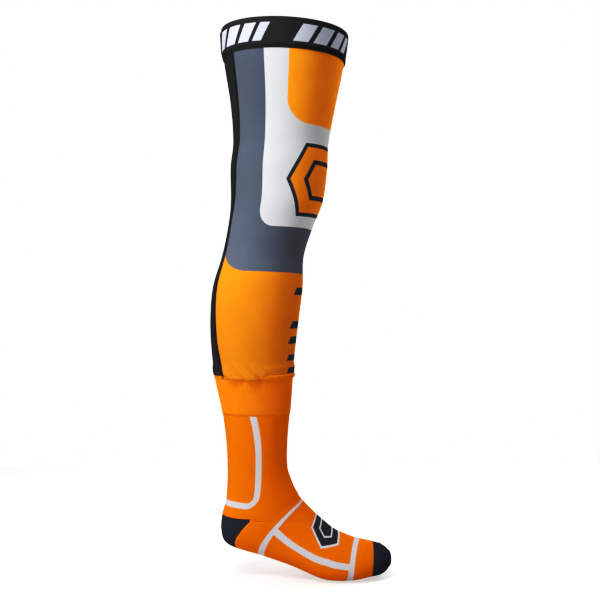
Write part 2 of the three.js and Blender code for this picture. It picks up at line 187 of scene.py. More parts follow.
THIGH_ROWS = [
    [0, OPENING_DEPTH, 0],
    [0.17, mix(OPENING_DEPTH, KNEE_DEPTH, 0.18), 0.0005],
    [0.46, mix(OPENING_DEPTH, KNEE_DEPTH, 0.7), 0.002],
    [0.7, KNEE_DEPTH, 0.0015],
    [0.86, KNEE_DEPTH + 0.002, 0.0005],
]
SHANK_ROWS = [
    [0.04, KNEE_DEPTH - 0.005, 0],
    [0.115, mix(KNEE_DEPTH, CALF_DEPTH, 1.8), -0.006],
    [0.21, CALF_DEPTH - 0.011, -0.014],
    [0.305, CALF_DEPTH, -0.018],
    [0.4, CALF_DEPTH - 0.001, -0.0195],
    [0.495, mix(CALF_DEPTH, ANKLE_DEPTH, 0.18), -0.0185],
    [0.59, mix(CALF_DEPTH, ANKLE_DEPTH, 0.4), -0.015],
    [0.685, mix(CALF_DEPTH, ANKLE_DEPTH, 0.7), -0.009],
    [0.78, mix(CALF_DEPTH, ANKLE_DEPTH, 0.94), -0.005],
]

# Sections of the foot: where each meets the heel or sole and where it meets the instep, along the
# foot and above the floor, then its width and its low share.
ANKLE_TOP = 1 + ANKLE_REACH / ANKLE_HEIGHT
SUNK = -SOLE_SINK / ANKLE_HEIGHT
FOOT_ROWS = [
    [0.0378, ANKLE_TOP, 0.3908, ANKLE_TOP, ANKLE_WIDTH, 0],
    [0.03, 1.09, 0.42, 1.33, ANKLE_WIDTH, 0],
    [0.008, 0.888, 0.435, 1.248, mix(ANKLE_WIDTH, HEEL_WIDTH, 0.5), 0],
    [0, 0.686, 0.45, 1.184, HEEL_WIDTH, 0],
    [0.018, 0.505, 0.46, 1.133, HEEL_WIDTH, 0.05],
    [0.077, 0.41, 0.475, 1.09, HEEL_WIDTH, 0.1],
    [0.243, 0.293, 0.51, 0.996, HEEL_WIDTH + 0.002, 0.25],
    [0.414, 0.157, 0.562, 0.868, mix(HEEL_WIDTH, BALL_WIDTH, 0.4), 0.4],
    [0.562, 0.015, 0.65, 0.68, mix(HEEL_WIDTH, BALL_WIDTH, 0.9), 0.5],
    [0.633, SUNK, 0.695, 0.612, BALL_WIDTH, 0.5],
    [0.769, SUNK, 0.788, 0.522, mix(HEEL_WIDTH, BALL_WIDTH, 0.8), 0.5],
    [0.879, 0.012, 0.894, 0.465, BALL_WIDTH * 0.78, 0.4],
    [0.932, 0.032, 0.94, 0.432, BALL_WIDTH * 0.66, 0.3],
    [0.968, 0.075, 0.973, 0.387, BALL_WIDTH * 0.5, 0.2],
    [0.987, 0.13, 0.989, 0.345, BALL_WIDTH * 0.35, 0.1],
]


def foot_sections(rows):
    """Sections of the foot, with s measured along their middles from the ankle."""
    made = []
    s = -ankle[2] - ANKLE_REACH
    last = None
    for sole_at, sole_up, top_at, top_up, width, low in rows:
        back = np.array([HEEL_BACK + sole_at * FOOT_LENGTH, FLOOR + sole_up * ANKLE_HEIGHT])
        front = np.array([HEEL_BACK + top_at * FOOT_LENGTH, FLOOR + top_up * ANKLE_HEIGHT])
        middle = (back + front) / 2
        s += 0 if last is None else np.linalg.norm(middle - last)
        last = middle
        made.append([s, *back, *front, width / 2, low])
    return made


def thigh_roundness(along):
    return mix(OPENING_ROUNDNESS, KNEE_ROUNDNESS, along)


def shank_roundness(along):
    return mix(KNEE_ROUNDNESS, ANKLE_ROUNDNESS, along**3)


THIGH = leg_sections(np.zeros(3), knee, THIGH_ROWS, thigh_roundness, OPENING_SLOPE)
SHANK = leg_sections(knee, ankle, SHANK_ROWS, shank_roundness, 0)
FOOT = foot_sections(FOOT_ROWS)
SECTIONS = np.array(THIGH + SHANK + FOOT)
TIP = SECTIONS[-1, 0]
FOOT_LEVELS = [row[0] for row in FOOT]
POCKET_TOP, POCKET_CORNER, INSTEP, MIDFOOT = (FOOT_LEVELS[n] for n in (2, 3, 5, 6))
BALL, CAP_START = FOOT_LEVELS[9], FOOT_LEVELS[11]


def section(s):
    """The section at each level, by Catmull-Rom between its neighbours."""
    last = len(SECTIONS) - 1
    after = np.clip(np.searchsorted(SECTIONS[:, 0], s, side="right"), 1, last)
    p0, p1, p2, p3 = (SECTIONS[np.clip(after + n, 0, last)] for n in (-2, -1, 0, 1))
    span = p2[..., :1] - p1[..., :1]
    t = (s[..., None] - p1[..., :1]) / span
    start = (p2 - p0) / np.maximum(p2[..., :1] - p0[..., :1], span) * span
    end = (p3 - p1) / np.maximum(p3[..., :1] - p1[..., :1], span) * span
    return (
        (2 * t**3 - 3 * t**2 + 1) * p1
        + (t**3 - 2 * t**2 + t) * start
        + (3 * t**2 - 2 * t**3) * p2
        + (t**3 - t**2) * end
    )


def on_form(s, angle):
    """The point of the form at each level and angle."""
    found = section(s)
    turn = np.radians(angle)
    along = (1 - np.cos(turn)) / 2
    across = along * (1 - found[..., 6] * (1 - along))
    side = -found[..., 5] * np.sign(np.sin(turn)) * np.abs(np.sin(turn)) ** SIDE_FULLNESS
    x = mix(found[..., 1], found[..., 3], across)
    z = mix(found[..., 2], found[..., 4], across)
    return np.stack([x, side, z], -1)


def leg_points(s, angle, lift):
    """Points square off the form. The ball of the foot is pressed flat on the floor."""
    s, angle, lift = np.broadcast_arrays(s, angle, lift)
    step, turn = 0.0005, 0.5
    down = on_form(s + step, angle) - on_form(s - step, angle)
    around = on_form(s, angle + turn) - on_form(s, angle - turn)
    normal = np.cross(down, around)
    normal /= np.linalg.norm(normal, axis=-1, keepdims=True)
    points = on_form(s, angle) + normal * lift[..., None]
    points[..., 2] = np.maximum(points[..., 2], FLOOR - np.minimum(lift, 0))
    return points


ARC_LEVEL_STEP = 0.002
ARC_ANGLE_STEP = 2.0
ARC_LEVELS = np.arange(0, TIP, ARC_LEVEL_STEP)
ARC_ANGLES = np.arange(0, 181, ARC_ANGLE_STEP)


def arcs_from_back():
    """Distances round the form from the back, for a grid of levels and angles on one side."""
    rings = on_form(ARC_LEVELS[:, None], ARC_ANGLES[None, :] + 0 * ARC_LEVELS[:, None])
    steps = np.linalg.norm(np.diff(rings, axis=1), axis=-1)
    return np.concatenate([np.zeros((len(ARC_LEVELS), 1)), np.cumsum(steps, axis=1)], axis=1)


ARCS = arcs_from_back()


def arc_at(s, angle):
    """Distance round the form from the back, between the places of the grid."""
    row = np.clip(s / ARC_LEVEL_STEP, 0, len(ARC_LEVELS) - 1.001)
    column = np.clip(angle / ARC_ANGLE_STEP, 0, len(ARC_ANGLES) - 1.001)
    r, c = row.astype(int), column.astype(int)
    low = mix(ARCS[r, c], ARCS[r, c + 1], column - c)
    high = mix(ARCS[r + 1, c], ARCS[r + 1, c + 1], column - c)
    return mix(low, high, row - r)


def half_girth(s):
    return arc_at(s, np.full_like(s, 180.0))


def share_round(s, angle):
    """How far round from the back a place is: 0 at the back, 1 at the front, negative inside."""
    turn = np.abs(angle)
    folded = np.where(turn > 180, 360 - turn, turn)
    share = arc_at(s, folded) / half_girth(s)
    return np.sign(angle) * np.where(turn > 180, 2 - share, share)


def angle_of(width, s):
    """The angle that a width of fabric takes up at the side of the leg."""
    return np.degrees(width / section(np.asarray(s, float))[..., 5])


# ---- Where one fabric stops and the next begins --------------------------------------------------


def back_reach(s):
    """Half the back panel's reach round the leg, in degrees, at each level."""
    shares, degrees = zip(*BACK_PANEL_REACH)
    return np.interp(s / SLEEVE_END, shares, degrees)


def heel_line(angle):
    """The heel pocket's upper edge, down to its corner on each side."""
    return mix(POCKET_TOP, POCKET_CORNER, np.minimum(np.abs(angle) / HEEL_HALF_ANGLE, 1) ** 2)


def pocket_end(angle):
    """The heel pocket's lower edge, which runs back up to nearly the same corner."""
    lowest = mix(INSTEP, MIDFOOT, 0.35)
    return mix(lowest, POCKET_CORNER + 0.003, np.minimum(np.abs(angle) / HEEL_HALF_ANGLE, 1))


def level_of_height(height, angle):
    """Where the form comes down to a height, at each angle in front of the heel."""
    levels = np.linspace(POCKET_TOP, BALL, 120)
    found = [np.interp(-height, -on_form(levels, levels * 0 + turn)[:, 2], levels) for turn in angle]
    return np.array(found)


def foot_split(angle):
    """Where the knit that folds at the ankle hands over to the knit of the foot."""
    below_fold = level_of_height(ANKLE_FOLD[1] - 0.003, angle)
    ahead = np.clip((np.abs(angle) - HEEL_HALF_ANGLE) / 8, 0, 1)
    return mix(heel_line(angle), np.maximum(below_fold, heel_line(angle)), ahead)


# ---- Building meshes -----------------------------------------------------------------------------


def grid_faces(rows, columns, closed):
    """Corner numbers of the quads between rows of points. A closed grid has no last column."""
    row = np.arange(rows - 1)[:, None]
    column = np.arange(columns if closed else columns - 1)[None, :]
    after = (column + 1) % columns
    corners = [row * columns + column, (row + 1) * columns + column,
               (row + 1) * columns + after, row * columns + after]
    return np.stack(np.broadcast_arrays(*corners), -1).reshape(-1, 4)


def rim_faces(rows, columns, closed, inner):
    """Quads that join the edges of the outer points to those of the inner ones."""
    top = np.arange(columns)
    loops = [(top, False), (top + (rows - 1) * columns, True)]
    if not closed:
        side = np.arange(rows) * columns
        loops += [(side, True), (side + columns - 1, False)]
    faces = []
    for loop, flip in loops:
        ends = (loop, np.roll(loop, -1)) if closed else (loop[:-1], loop[1:])
        first, second = ends[::-1] if flip else ends
        faces.append(np.stack([first, second, second + inner, first + inner], -1))
    return np.concatenate(faces)


def new_object(name, points, faces, smooth_count=None):
    """A mesh object. Only its first smooth_count faces are smooth, where that is given."""
    mesh = bpy.data.meshes.new(name)
    mesh.from_pydata(points, [], [list(face) for face in faces])
    smooth = np.ones(len(mesh.polygons), bool)
    if smooth_count is not None:
        smooth[smooth_count:] = False
    mesh.polygons.foreach_set("use_smooth", smooth)
    obj = bpy.data.objects.new(f"{name}_detail", mesh)
    bpy.context.scene.collection.objects.link(obj)
    return obj


def set_map(obj, u, v):
    """Gives each corner its place on the cloth: u round the leg and v down it."""
    layer = obj.data.uv_layers.new(name="cloth")
    corner = np.zeros(len(obj.data.loops), int)
    obj.data.loops.foreach_get("vertex_index", corner)
    flat = np.stack([u[corner], v[corner]], -1)
    layer.data.foreach_set("uv", flat.ravel())


def cloth(name, s, angle, lift, wall, material, half_width, closed=False):
    """A closed piece of cloth from a grid of places: rows down the leg, columns round it."""
    s, angle, lift = np.broadcast_arrays(s, angle, lift)
    rows, columns = s.shape
    outer = leg_points(s, angle, lift).reshape(-1, 3)
    inner = leg_points(s, angle, lift - wall).reshape(-1, 3)
    face = grid_faces(rows, columns, closed)
    count = rows * columns
    faces = np.concatenate([face, face[:, ::-1] + count, rim_faces(rows, columns, closed, count)])
    obj = new_object(name, np.concatenate([outer, inner]), faces, 2 * len(face))
    u = (share_round(s, angle) * half_width).ravel()
    v = s.ravel()
    set_map(obj, np.tile(u, 2), np.tile(v, 2))
    if closed:
        unwrap_last_column(obj, half_width)
    obj.data.materials.append(material)
    return obj


def unwrap_last_column(obj, half_width):
    """Faces that close a ring run on past the far side instead of back across the whole map."""
    layer = obj.data.uv_layers["cloth"].data
    flat = np.zeros(len(layer) * 2)
    layer.foreach_get("uv", flat)
    flat = flat.reshape(-1, 4, 2)
    wide = flat[..., 0].max(1) - flat[..., 0].min(1) > half_width
    behind = wide[:, None] & (flat[..., 0] < 0)
    flat[..., 0] += behind * 2 * half_width
    layer.foreach_set("uv", flat.ravel())


def ring_angles(columns):
    """Angles all round the leg, from the front at -180."""
    return np.arange(columns) * 360.0 / columns - 180


def rows_between(start, end, step):
    """Levels from start to end, which may depend on the column, about step apart."""
    start, end = np.broadcast_arrays(np.atleast_1d(start), np.atleast_1d(end))
    count = max(int(np.ceil(np.max(end - start) / step)), 1)
    share = np.linspace(0, 1, count + 1)[:, None]
    return mix(start[None, :], end[None, :], share)


def tube(name, path, radius, material, sides=8):
    """A closed thread along a path. The radius may change from point to point."""
    path = np.asarray(path)
    radius = np.broadcast_to(radius, len(path))
    along = np.gradient(path, axis=0)
    along /= np.linalg.norm(along, axis=1, keepdims=True)
    across = np.cross(along, [0, 0, 1.0])
    across /= np.linalg.norm(across, axis=1, keepdims=True)
    up = np.cross(across, along)
    turn = np.linspace(0, 2 * np.pi, sides, endpoint=False)
    ring = across[:, None] * np.cos(turn)[None, :, None] + up[:, None] * np.sin(turn)[None, :, None]
    points = path[:, None] + ring * radius[:, None, None]
    faces = [list(face) for face in grid_faces(len(path), sides, True)]
    faces += [list(range(sides))[::-1], list(np.arange(sides) + (len(path) - 1) * sides)]
    obj = new_object(name, points.reshape(-1, 3), faces)
    distance = np.concatenate([[0], np.cumsum(np.linalg.norm(np.diff(path, axis=0), axis=1))])
    set_map(obj, np.tile(turn * 0.001, len(path)), np.repeat(distance, sides))
    obj.data.materials.append(material)
    return obj


# ---- Arithmetic inside materials -----------------------------------------------------------------


def feed(tree, value, socket):
    if isinstance(value, Wire):
        tree.links.new(value.socket, socket)
    else:
        socket.default_value = value


def feed_colour(tree, value, socket):
    feed(tree, value if isinstance(value, Wire) else (*value, 1), socket)


class Wire:
    """A value inside a material, so that sums of nodes read like sums."""

    def __init__(self, tree, socket):
        self.tree = tree
        self.socket = socket

    def math(self, operation, *others):
        node = self.tree.nodes.new("ShaderNodeMath")
        node.operation = operation
        for socket, value in zip(node.inputs, (self, *others)):
            feed(self.tree, value, socket)
        return Wire(self.tree, node.outputs[0])

    def __add__(self, other):
        return self.math("ADD", other)

    def __sub__(self, other):
        return self.math("SUBTRACT", other)

    def __mul__(self, other):
        return self.math("MULTIPLY", other)

    def __truediv__(self, other):
        return self.math("DIVIDE", other)

    def __rsub__(self, other):
        return (self * -1) + other

    __radd__ = __add__

    def __abs__(self):
        return self.math("ABSOLUTE")

    def __pow__(self, other):
        return self.math("POWER", other)

    def fraction(self):
        return self.math("FRACT")

    def at_least(self, other):
        return self.math("MAXIMUM", other)

    def at_most(self, other):
        return self.math("MINIMUM", other)

    def sine(self):
        return self.math("SINE")

    def ramp(self, low, high, to_low=0.0, to_high=1.0):
        """Runs evenly from to_low to to_high as the value goes from low to high."""
        node = self.tree.nodes.new("ShaderNodeMapRange")
        for socket, value in zip(node.inputs, (self, low, high, to_low, to_high)):
            feed(self.tree, value, socket)
        return Wire(self.tree, node.outputs[0])


def length(x, y):
    return (x * x + y * y) ** 0.5


def outside_corner(x, y, radius):
    """Distance outside a quarter plane with a round corner. Both x and y are negative inside it."""
    x, y = x + radius, y + radius
    beyond = length(x.at_least(0), y.at_least(0))
    within = x.at_least(y).at_most(0)
    return beyond + within - radius


def outside_hexagon(x, y, half_width, half_height, slope=0.5):
    """Distance outside a long hexagon with a point at each end."""
    ends = (abs(x) + abs(y) * slope - half_width) * (1 / math.hypot(1, slope))
    return ends.at_least(abs(y) - half_height)


def outside_bar(x, y, half_width, half_height, slant):
    """Distance outside a bar with slanted ends."""
    return (abs(x - y * slant) - half_width).at_least(abs(y) - half_height)


class Cloth:
    """A fabric material, with its place on the cloth and the parts of a shader at hand."""

    def __init__(self, name, roughness, sheen=0.0, sheen_tint=(1, 1, 1), specular=0.0):
        self.material = bpy.data.materials.new(name)
        self.material.use_nodes = True
        self.tree = self.material.node_tree
        self.shader = self.tree.nodes["Principled BSDF"]
        self.shader.inputs["Roughness"].default_value = roughness
        self.shader.inputs["Sheen Weight"].default_value = sheen
        self.shader.inputs["Sheen Tint"].default_value = (*sheen_tint, 1)
        self.shader.inputs["Specular IOR Level"].default_value = specular
        uv = self.tree.nodes.new("ShaderNodeUVMap")
        uv.uv_map = "cloth"
        self.place = uv.outputs[0]
        split = self.tree.nodes.new("ShaderNodeSeparateXYZ")
        self.tree.links.new(self.place, split.inputs[0])
        self.u = Wire(self.tree, split.outputs[0])
        self.v = Wire(self.tree, split.outputs[1])

    def noise(self, size, detail=2.0):
        """Uneven spots of about this size, from 0 to 1."""
        scaled = self.tree.nodes.new("ShaderNodeVectorMath")
        scaled.operation = "MULTIPLY"
        scaled.inputs[1].default_value = (1 / size, 1 / size, 0)
        self.tree.links.new(self.place, scaled.inputs[0])
        node = self.tree.nodes.new("ShaderNodeTexNoise")
        node.inputs["Scale"].default_value = 1.0
        node.inputs["Detail"].default_value = detail
        self.tree.links.new(scaled.outputs[0], node.inputs["Vector"])
        return Wire(self.tree, node.outputs[0])

    def blend(self, base, other, share, mode="MIX"):
        """Mixes two colours by a share from 0 to 1."""
        node = self.tree.nodes.new("ShaderNodeMix")
        node.data_type = "RGBA"
        node.blend_type = mode
        feed(self.tree, share, node.inputs["Factor"])
        ends = [socket for socket in node.inputs if socket.type == "RGBA"]
        for socket, value in zip(ends, (base, other)):
            feed_colour(self.tree, value, socket)
        results = [socket for socket in node.outputs if socket.type == "RGBA"]
        return Wire(self.tree, results[0])

    def paint(self, base, colour, distance, soft=0.0003):
        """Colours where a distance is negative, with an edge that blurs over twice soft."""
        return self.blend(base, colour, distance.ramp(-soft, soft, 1.0, 0.0))

    def shade(self, colour, factor, amount):
        """Darkens and lightens a colour with a factor from 0 to 1."""
        grey = factor.ramp(0, 1, 1 - amount, 1 + amount)
        tint = self.tree.nodes.new("ShaderNodeCombineXYZ")
        for socket in tint.inputs:
            feed(self.tree, grey, socket)
        return self.blend(colour, Wire(self.tree, tint.outputs[0]), 1.0, "MULTIPLY")

    def finish(self, colour, height, depth):
        """Sets the colour, and the relief from a height between 0 and 1 and its depth."""
        feed_colour(self.tree, colour, self.shader.inputs["Base Color"])
        bump = self.tree.nodes.new("ShaderNodeBump")
        bump.inputs["Distance"].default_value = depth
        feed(self.tree, height, bump.inputs["Height"])
        self.tree.links.new(bump.outputs[0], self.shader.inputs["Normal"])
        return self.material


def srgb(text):
    """A linear colour from a written one such as f07814."""
    values = [int(text[n:n + 2], 16) / 255 for n in (0, 2, 4)]
    return tuple(v / 12.92 if v <= 0.04045 else ((v + 0.055) / 1.055) ** 2.4 for v in values)


# ---- Colours -------------------------------------------------------------------------------------

BLACK = srgb("363637")
PANEL_BLACK = srgb("303030")
WOVEN_WHITE = srgb("c6c9d6")
SLATE = srgb("626872")
PRINT_WHITE = srgb("cfd0d2")
PRINT_ORANGE = srgb("ec911f")
MARK_DARK = srgb("363d49")
KNIT_ORANGE = srgb("f08409")
CUFF_ORANGE = srgb("fb9018")
HEM_ORANGE = srgb("f8921c")
KNIT_WHITE = srgb("d5d3d8")
NAVY = srgb("363c46")
THREAD_BLACK = srgb("303032")
THREAD_ORANGE = srgb("d9640c")
SILICONE = srgb("b9babb")
TERRY_WHITE = srgb("d8d6d2")

# ---- Materials -----------------------------------------------------------------------------------

PRINT_HALF = 0.200  # half the printed sleeve's nominal width, on the map
KNIT_NEEDLES = 168
STITCH_WIDTH = 0.0015
STITCH_HEIGHT = 0.0012
KNIT_HALF = KNIT_NEEDLES * STITCH_WIDTH / 2
BAND_HALF = 0.270

# Places on the maps: across from the back or the front, and down from the leg opening.
SLATE_PANEL = (0.010, 0.3285, 0.072)  # starts this far from the back, ends at this level, corner radius
WHITE_PANEL = (0.0805, 0.2675, 0.026)
ORANGE_PANEL = (0.1065, 0.1295, 0.032)
KNEE_BADGE_LEVEL = 0.208
KNEE_BADGE = (0.088, 0.049)  # half its width round the leg, half its height
SHIN_BAR_HALF_WIDTH = 0.036
SHIN_BARS = ((0.358, 0.005), (0.404, 0.005), (0.425, 0.005), (0.449, 0.004), (0.466, 0.004))
BAND_GROUPS = 4
BAND_BARS = ((0.012, 0.0105), (0.040, 0.0105), (0.066, 0.0085), (0.087, 0.0065))  # centre, half width
BAND_BAR_HALF_HEIGHT = 0.0115
INSTEP_BADGE_LEVEL = 0.764
INSTEP_BADGE = (0.050, 0.025)
KNIT_EDGE = 0.0002  # how far a knitted mark's edge blurs


def jersey(fabric, colour):
    """Fine warp knit: close vertical wales, with a faint unevenness in the dye."""
    wales = (fabric.u * (2 * math.pi / 0.0008)).sine().ramp(-1, 1)
    courses = (fabric.v * (2 * math.pi / 0.0007) + wales * 2.0).sine().ramp(-1, 1)
    mottle = fabric.noise(0.0018, 3.0)
    cloudy = fabric.noise(0.03, 1.0)
    colour = fabric.shade(colour, mottle, 0.13)
    colour = fabric.shade(colour, cloudy, 0.06)
    height = wales * 0.5 + courses * 0.3 + mottle * 0.5
    return fabric.finish(colour, height, 0.00012)


def printed_material():
    """The sleeve's print (nested panels with round corners, a knee badge, bars below it) with painted
    light and shade.
    """
    fabric = Cloth("printed_jersey", roughness=0.55, sheen=0.03)
    from_back = PRINT_HALF - abs(fabric.u - PRINT_HALF)
    from_front = abs(fabric.u - PRINT_HALF)
    level = fabric.v - from_back * 0.03
    slate, white, orange = (
        outside_corner(start - from_back, level - end, radius)
        for start, end, radius in (SLATE_PANEL, WHITE_PANEL, ORANGE_PANEL)
    )
    badge = outside_hexagon(from_front, fabric.v - KNEE_BADGE_LEVEL, *KNEE_BADGE)
    # Painted light and shade: the orange is lighter near the top of the sleeve and darker towards the
    # hem, as the lamps light it.
    shaded_print_orange = fabric.shade(PRINT_ORANGE, fabric.v.ramp(0.08, 0.47, 1.0, 0.0), 0.22)
    # Painted light: the slate grows lighter further down, towards the knee, where the lamps light the leg
    # most.
    lit_print_slate = fabric.shade(SLATE, fabric.v.ramp(0.10, 0.32), 0.1)
    colour = fabric.paint(shaded_print_orange, lit_print_slate, slate)
    colour = fabric.paint(colour, PRINT_WHITE, white)
    colour = fabric.paint(colour, shaded_print_orange, orange)
    for inset, ink in ((0, MARK_DARK), (0.005, shaded_print_orange), (0.022, MARK_DARK), (0.028, shaded_print_orange)):
        colour = fabric.paint(colour, ink, badge + inset)
    for place, half_height in SHIN_BARS:
        bar = outside_bar(from_front, fabric.v - place, SHIN_BAR_HALF_WIDTH, half_height, 0.6)
        colour = fabric.paint(colour, MARK_DARK, bar)
    return jersey(fabric, colour)


def black_stretch_material():
    fabric = Cloth("black_stretch", roughness=0.6, sheen=0.01)
    return jersey(fabric, PANEL_BLACK)


def woven_material():
    """Woven elastic: fine upright ribs, selvedges, and groups of slanted marks in white yarn."""
    fabric = Cloth("woven_elastic", roughness=0.75, sheen=0.01)
    period = 2 * BAND_HALF / BAND_GROUPS
    middle = BAND_HEIGHT / 2
    slanted = fabric.u + (fabric.v - middle) * 0.55 - 0.018
    along = (slanted / period).fraction() * period
    rise = abs(fabric.v - middle) - BAND_BAR_HALF_HEIGHT
    colour = fabric.shade(BLACK, fabric.noise(0.0012, 2.0), 0.25)
    bars = [(abs(along - centre) - half).at_least(rise) for centre, half in BAND_BARS]
    marks = functools.reduce(Wire.at_most, bars)
    inside = marks.ramp(-0.0003, 0.0003, 1.0, 0.0)
    yarn = fabric.shade(WOVEN_WHITE, fabric.noise(0.001, 2.0), 0.15)
    colour = fabric.blend(colour, yarn, inside)
    ribs = abs((fabric.u * (math.pi / 0.0014)).sine())
    picks = abs((fabric.v * (math.pi / 0.0009) + ribs * 0.8).sine())
    selvedge = abs(fabric.v - middle).ramp(middle - 0.004, middle - 0.0035)
    height = ribs * 0.5 + picks * 0.35 + inside * 0.8 + selvedge * 0.5
    return fabric.finish(colour, height, 0.0003)


def stitches(fabric):
    """Height of plain knitting: each stitch is two slanted legs that meet in a V."""
    across = abs((fabric.u / STITCH_WIDTH).fraction() - 0.5)
    down = (fabric.v / STITCH_HEIGHT - across * 1.2).fraction() - 0.5
    leg = 1 - ((across - 0.25) * 4) ** 2 * 0.75
    yarn = (1 - (down * 2) ** 2) * leg
    return yarn.at_least(0)


def to_stitches(fabric):
    """A place that follows the slant of the stitches, so that a knitted mark has toothed edges."""
    tooth = abs((fabric.u / STITCH_WIDTH).fraction() - 0.5)
    return fabric.u, fabric.v - tooth * (0.8 * STITCH_HEIGHT)


def knit_stitches_and_shade(fabric, colour):
    """Lays stitches and fuzz over a colour, with painted shade between the stitches and painted light on
    the yarn.
    """
    yarn = stitches(fabric)
    fuzz = fabric.noise(0.0009, 2.0)
    # Painted shade in the gaps between stitches and painted light on the tops of the yarn.
    colour = fabric.shade(colour, yarn, 0.3)
    colour = fabric.shade(colour, fuzz, 0.1)
    return fabric.finish(colour, yarn + fuzz * 0.35, 0.0004)


def knit_material():
    """Orange knit with off-white lines knitted in and a badge on the instep."""
    fabric = Cloth("orange_knit", roughness=0.9, sheen=0.06, sheen_tint=KNIT_ORANGE)
    u, v = to_stitches(fabric)
    side = abs(u)
    share = side / KNIT_HALF
    # Down each side of the leg and, through a round corner, back round above the heel.
    leg_line = 0.0668 - (v - 0.5835) ** 2 * 2.06
    bar_line = 0.6379 + share ** 2 * 0.0594
    half_line = (side / 0.06).at_most(1) ** 3 * 0.0014 + 0.0029
    bend = (abs(outside_corner(side - leg_line, v - bar_line, 0.013)) - half_line).at_least(v - 0.66)
    # Across the instep, back down to the heel.
    ring_line = 0.688 + (1 - share / 0.83).at_least(0) ** 1.5 * 0.0285
    ring = abs(v - ring_line) - 0.0032
    # Along each side of the foot.
    side_line = (0.0585 + (v - 0.739) ** 2 * 3.9).at_most(0.0645)
    long_line = (abs(side - side_line) - 0.0045).at_least(0.692 - v).at_least(v - 0.812)
    # Round the foot, behind the toes.
    toe_line = 0.8115 + ((share - 0.5).at_least(0) * 2) ** 1.5 * 0.008
    toe_ring = abs(v - toe_line) - 0.0037
    lines = bend.at_most(ring).at_most(long_line).at_most(toe_ring)
    badge = outside_hexagon(KNIT_HALF - side, v - INSTEP_BADGE_LEVEL, *INSTEP_BADGE, 0.7)
    colour = fabric.paint(KNIT_ORANGE, KNIT_WHITE, lines, KNIT_EDGE)
    for inset, ink in ((0, KNIT_WHITE), (0.003, NAVY), (0.013, KNIT_WHITE), (0.0155, NAVY)):
        colour = fabric.paint(colour, ink, badge + inset, KNIT_EDGE)
    return knit_stitches_and_shade(fabric, colour)


def plain_knit(name, colour):
    fabric = Cloth(name, roughness=0.9, sheen=0.04, sheen_tint=colour)
    return knit_stitches_and_shade(fabric, colour)


def thread_material(name, colour):
    """Twisted sewing thread, with painted shade in the grooves of its twist."""
    fabric = Cloth(name, roughness=0.6)
    twist = (fabric.v * (2 * math.pi / 0.0006) + fabric.u * 4000.0).sine().ramp(-1, 1)
    # Painted shade: the colour darkens where the twist sinks and lightens on its ridges.
    return fabric.finish(fabric.shade(colour, twist, 0.25), twist, 0.0001)


def terry_material():
    fabric = Cloth("terry_loops", roughness=1.0, sheen=0.1)
    loops = fabric.noise(0.0016, 2.0)
    # Painted shade: the white darkens in the hollows between the loops and lightens on their tops.
    return fabric.finish(fabric.shade(TERRY_WHITE, loops, 0.3), loops, 0.0012)


def silicone_material():
    fabric = Cloth("grip_silicone", roughness=0.35, specular=0.5)
    specks = fabric.noise(0.0008, 1.0)
    return fabric.finish(fabric.shade(SILICONE, specks, 0.05), specks, 0.00005)


def floor_material():
    """Pale floor that looks lit all over, yet throws little light back on the sock."""
    material = bpy.data.materials.new("pale_floor")
    material.use_nodes = True
    shader = material.node_tree.nodes["Principled BSDF"]
    shader.inputs["Base Color"].default_value = (0.5, 0.5, 0.5, 1)
    shader.inputs["Roughness"].default_value = 0.8
    shader.inputs["Emission Color"].default_value = (1, 1, 1, 1)
    seen_only(material.node_tree, FLOOR_GLOW, FLOOR_BOUNCE, shader.inputs["Emission Strength"])
    return material


def seen_only(tree, seen, otherwise, socket):
    """Gives a strength one value where the camera looks and another where light bounces."""
    path = tree.nodes.new("ShaderNodeLightPath")
    strength = tree.nodes.new("ShaderNodeMapRange")
    strength.inputs["To Min"].default_value = otherwise
    strength.inputs["To Max"].default_value = seen
    tree.links.new(path.outputs["Is Camera Ray"], strength.inputs["Value"])
    tree.links.new(strength.outputs[0], socket)


# ---- The waistband -------------------------------------------------------------------------------


def add_waistband(materials):
    """Elastic that stands slightly proud of the sleeve, with soft rounded edges."""
    angle = ring_angles(220)
    s = rows_between(0.0, BAND_HEIGHT + BAND_OVERLAP, 0.0013)
    from_edge = np.minimum(s, BAND_HEIGHT + BAND_OVERLAP - s)
    rounded = np.sqrt(np.clip(from_edge / 0.002, 0, 1)) - 1
    lift = BAND_LIFT + rounded * 0.0008
    band = cloth("waistband", s, angle, lift, BAND_WALL, materials["woven"], BAND_HALF, closed=True)
    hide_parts("waistband")
    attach(band, "thigh")


def add_band_lap(materials):
    """The waistband's overlapped end at the back, with a bar tack along each edge."""
    reach = float(angle_of(LAP_HALF_WIDTH, 0.0))
    angle = np.linspace(-reach, reach, 12)
    s = rows_between(0.002, BAND_HEIGHT - 0.0045, 0.0015)
    lap = cloth("waistband_lap", s, angle, 0.0022, 0.0009, materials["band_end"], BAND_HALF)
    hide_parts("waistband_lap")
    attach(lap, "thigh")
    for name, side in (("outer", 1), ("inner", -1)):
        tack_angle = side * (reach - float(angle_of(TACK_INSET, 0.0)))
        level = np.linspace(0.004, BAND_HEIGHT - 0.0065, 90)
        wobble = np.resize([1, -1], len(level)) * float(angle_of(0.0009, 0.0))
        path = leg_points(level, tack_angle + wobble, 0.0024)
        tack = tube(f"lap_tack_{name}", path, THREAD, materials["black_thread"], 6)
        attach(tack, "thigh")


def add_waist_stitching(materials):
    """Zigzag that joins the waistband to the sleeve."""
    columns = 680
    angle = np.linspace(-180, 180, columns, endpoint=False)
    zigzag = np.resize([-1, 0, 1, 0], columns) * 0.0016
    path = leg_points(BAND_HEIGHT - 0.0022 + zigzag, angle, 0.0014)
    thread = tube("waist_stitching", path, THREAD, materials["black_thread"], 6)
    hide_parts("waist_stitching")
    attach(thread, "thigh")


